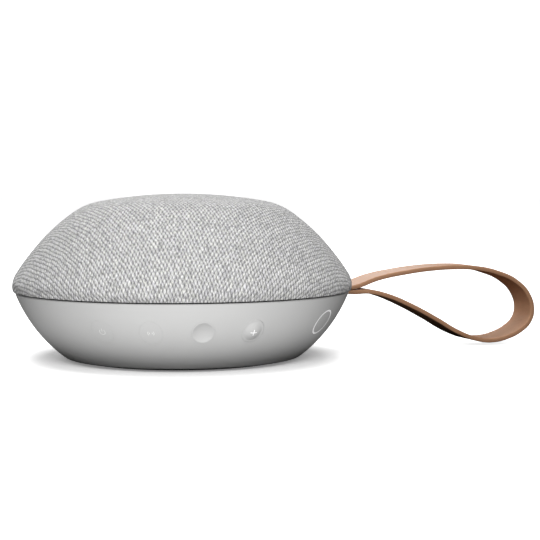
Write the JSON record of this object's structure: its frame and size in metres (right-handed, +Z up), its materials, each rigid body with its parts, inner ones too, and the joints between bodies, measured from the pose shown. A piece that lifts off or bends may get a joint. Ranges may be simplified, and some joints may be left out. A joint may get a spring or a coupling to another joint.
{
  "type": "smart speaker",
  "caption": "Round portable speaker: woven dome over a moulded base with four press keys, touch ring, rear ports, foot pad and a leather carrying loop.",
  "frame": {"origin": "centre of the foot pad's underside, on the surface the speaker stands on", "axes": "+Z up through the middle of the dome; the keys are centred on -Y, the ports on +Y; the strap leaves towards +X, turned 18 degrees towards +Y"},
  "size_m": [0.2821, 0.1748, 0.085],
  "materials": {
    "shell": "fine matt",
    "key": "fine matt",
    "woven_cover": "coarse heathered weave",
    "strap_leather": "smooth vegetable-tanned",
    "pad_rubber": "matt",
    "gasket_rubber": "matt",
    "surround_rubber": "satin",
    "foam": "foam",
    "white_print": "satin",
    "inner_plastic": "matt",
    "grille_plastic": "matt",
    "port_plastic": "matt",
    "plunger_plastic": "satin",
    "steel": "zinc plated",
    "plated_steel": "nickel plated",
    "basket_metal": "powder coat",
    "magnet": "sintered ferrite",
    "copper_wire": "enamelled copper",
    "cone_paper": "pressed pulp",
    "spider_cloth": "impregnated cloth",
    "polyimide": "film",
    "cell_wrap": "shrink sleeve",
    "board_green": "solder mask",
    "chip_black": "moulded",
    "lead_red": "insulation"
  },
  "bodies": {
    "speaker_body": {"audio_jack": "inner_plastic", "base_shell": "shell", "battery_cells": "cell_wrap", "battery_leads": "lead_red", "battery_tray": "inner_plastic", "board_components": "chip_black", "board_screws": "steel", "bottom_screws": "steel", "cabinet_dome": "inner_plastic", "cabinet_screws": "steel", "chassis": "inner_plastic", "driver_basket": "basket_metal", "driver_gasket": "foam", "driver_leads": "lead_red", "driver_magnet": "magnet", "driver_screws": "steel", "driver_spider": "spider_cloth", "driver_surround": "surround_rubber", "driver_terminals": "inner_plastic", "driver_top_plate": "plated_steel", "driver_yoke": "plated_steel", "foot_pad": "pad_rubber", "grille_fabric": "woven_cover", "grille_frame": "grille_plastic", "left_radiator_frame": "inner_plastic", "left_radiator_surround": "surround_rubber", "main_board": "board_green", "microphones": "chip_black", "port_panel": "port_plastic", "port_seal": "foam", "radio_shield": "plated_steel", "right_radiator_frame": "inner_plastic", "right_radiator_surround": "surround_rubber", "seam_gasket": "gasket_rubber", "strap_clamp": "plated_steel", "strap_screws": "steel", "strap_tail": "strap_leather", "switch_bodies": "inner_plastic", "switch_carrier": "inner_plastic", "switch_flex": "polyimide", "touch_antenna": "polyimide", "touch_ring": "white_print", "usb_socket": "plated_steel"},
    "power_key": {"power_button": "key", "power_plunger": "plunger_plastic"},
    "pairing_key": {"pairing_button": "key", "pairing_plunger": "plunger_plastic"},
    "volume_down_key": {"volume_down_button": "key", "volume_down_plunger": "plunger_plastic"},
    "volume_up_key": {"volume_up_button": "key", "volume_up_plunger": "plunger_plastic"},
    "driver_motor_cone": {"driver_cone": "cone_paper", "driver_dust_cap": "cone_paper", "driver_voice_coil": "copper_wire"},
    "left_radiator": {"left_radiator_cone": "cone_paper"},
    "right_radiator": {"right_radiator_cone": "cone_paper"},
    "strap": {"strap_loop": "strap_leather"}
  },
  "joints": [
    {"name": "power_press", "type": "slide", "parent": "speaker_body", "child": "power_key", "axis": [0.377, 0.7496, 0.544], "range_m": [0, 0.0005], "stiffness_N_per_m": 2500},
    {"name": "pairing_press", "type": "slide", "parent": "speaker_body", "child": "pairing_key", "axis": [0.1298, 0.829, 0.544], "range_m": [0, 0.0005], "stiffness_N_per_m": 2500},
    {"name": "volume_down_press", "type": "slide", "parent": "speaker_body", "child": "volume_down_key", "axis": [-0.1298, 0.829, 0.544], "range_m": [0, 0.0005], "stiffness_N_per_m": 2500},
    {"name": "volume_up_press", "type": "slide", "parent": "speaker_body", "child": "volume_up_key", "axis": [-0.377, 0.7496, 0.544], "range_m": [0, 0.0005], "stiffness_N_per_m": 2500},
    {"name": "driver_cone_travel", "type": "slide", "parent": "speaker_body", "child": "driver_motor_cone", "axis": [0, 0, 1], "range_m": [-0.002, 0.002], "stiffness_N_per_m": 1500, "deforming": ["driver_surround", "driver_spider"]},
    {"name": "left_radiator_travel", "type": "slide", "parent": "speaker_body", "child": "left_radiator", "axis": [-0.7314, 0, 0.682], "range_m": [-0.0015, 0.0015], "stiffness_N_per_m": 600, "deforming": ["left_radiator_surround"]},
    {"name": "right_radiator_travel", "type": "slide", "parent": "speaker_body", "child": "right_radiator", "axis": [0.7314, 0, 0.682], "range_m": [-0.0015, 0.0015], "stiffness_N_per_m": 600, "deforming": ["right_radiator_surround"]},
    {"name": "strap_swing", "type": "hinge", "parent": "speaker_body", "child": "strap", "pos_m": [0.0875, 0.02843, 0.0332], "axis": [0.309, -0.9511, 0], "range_deg": [0, 80]}
  ]
}
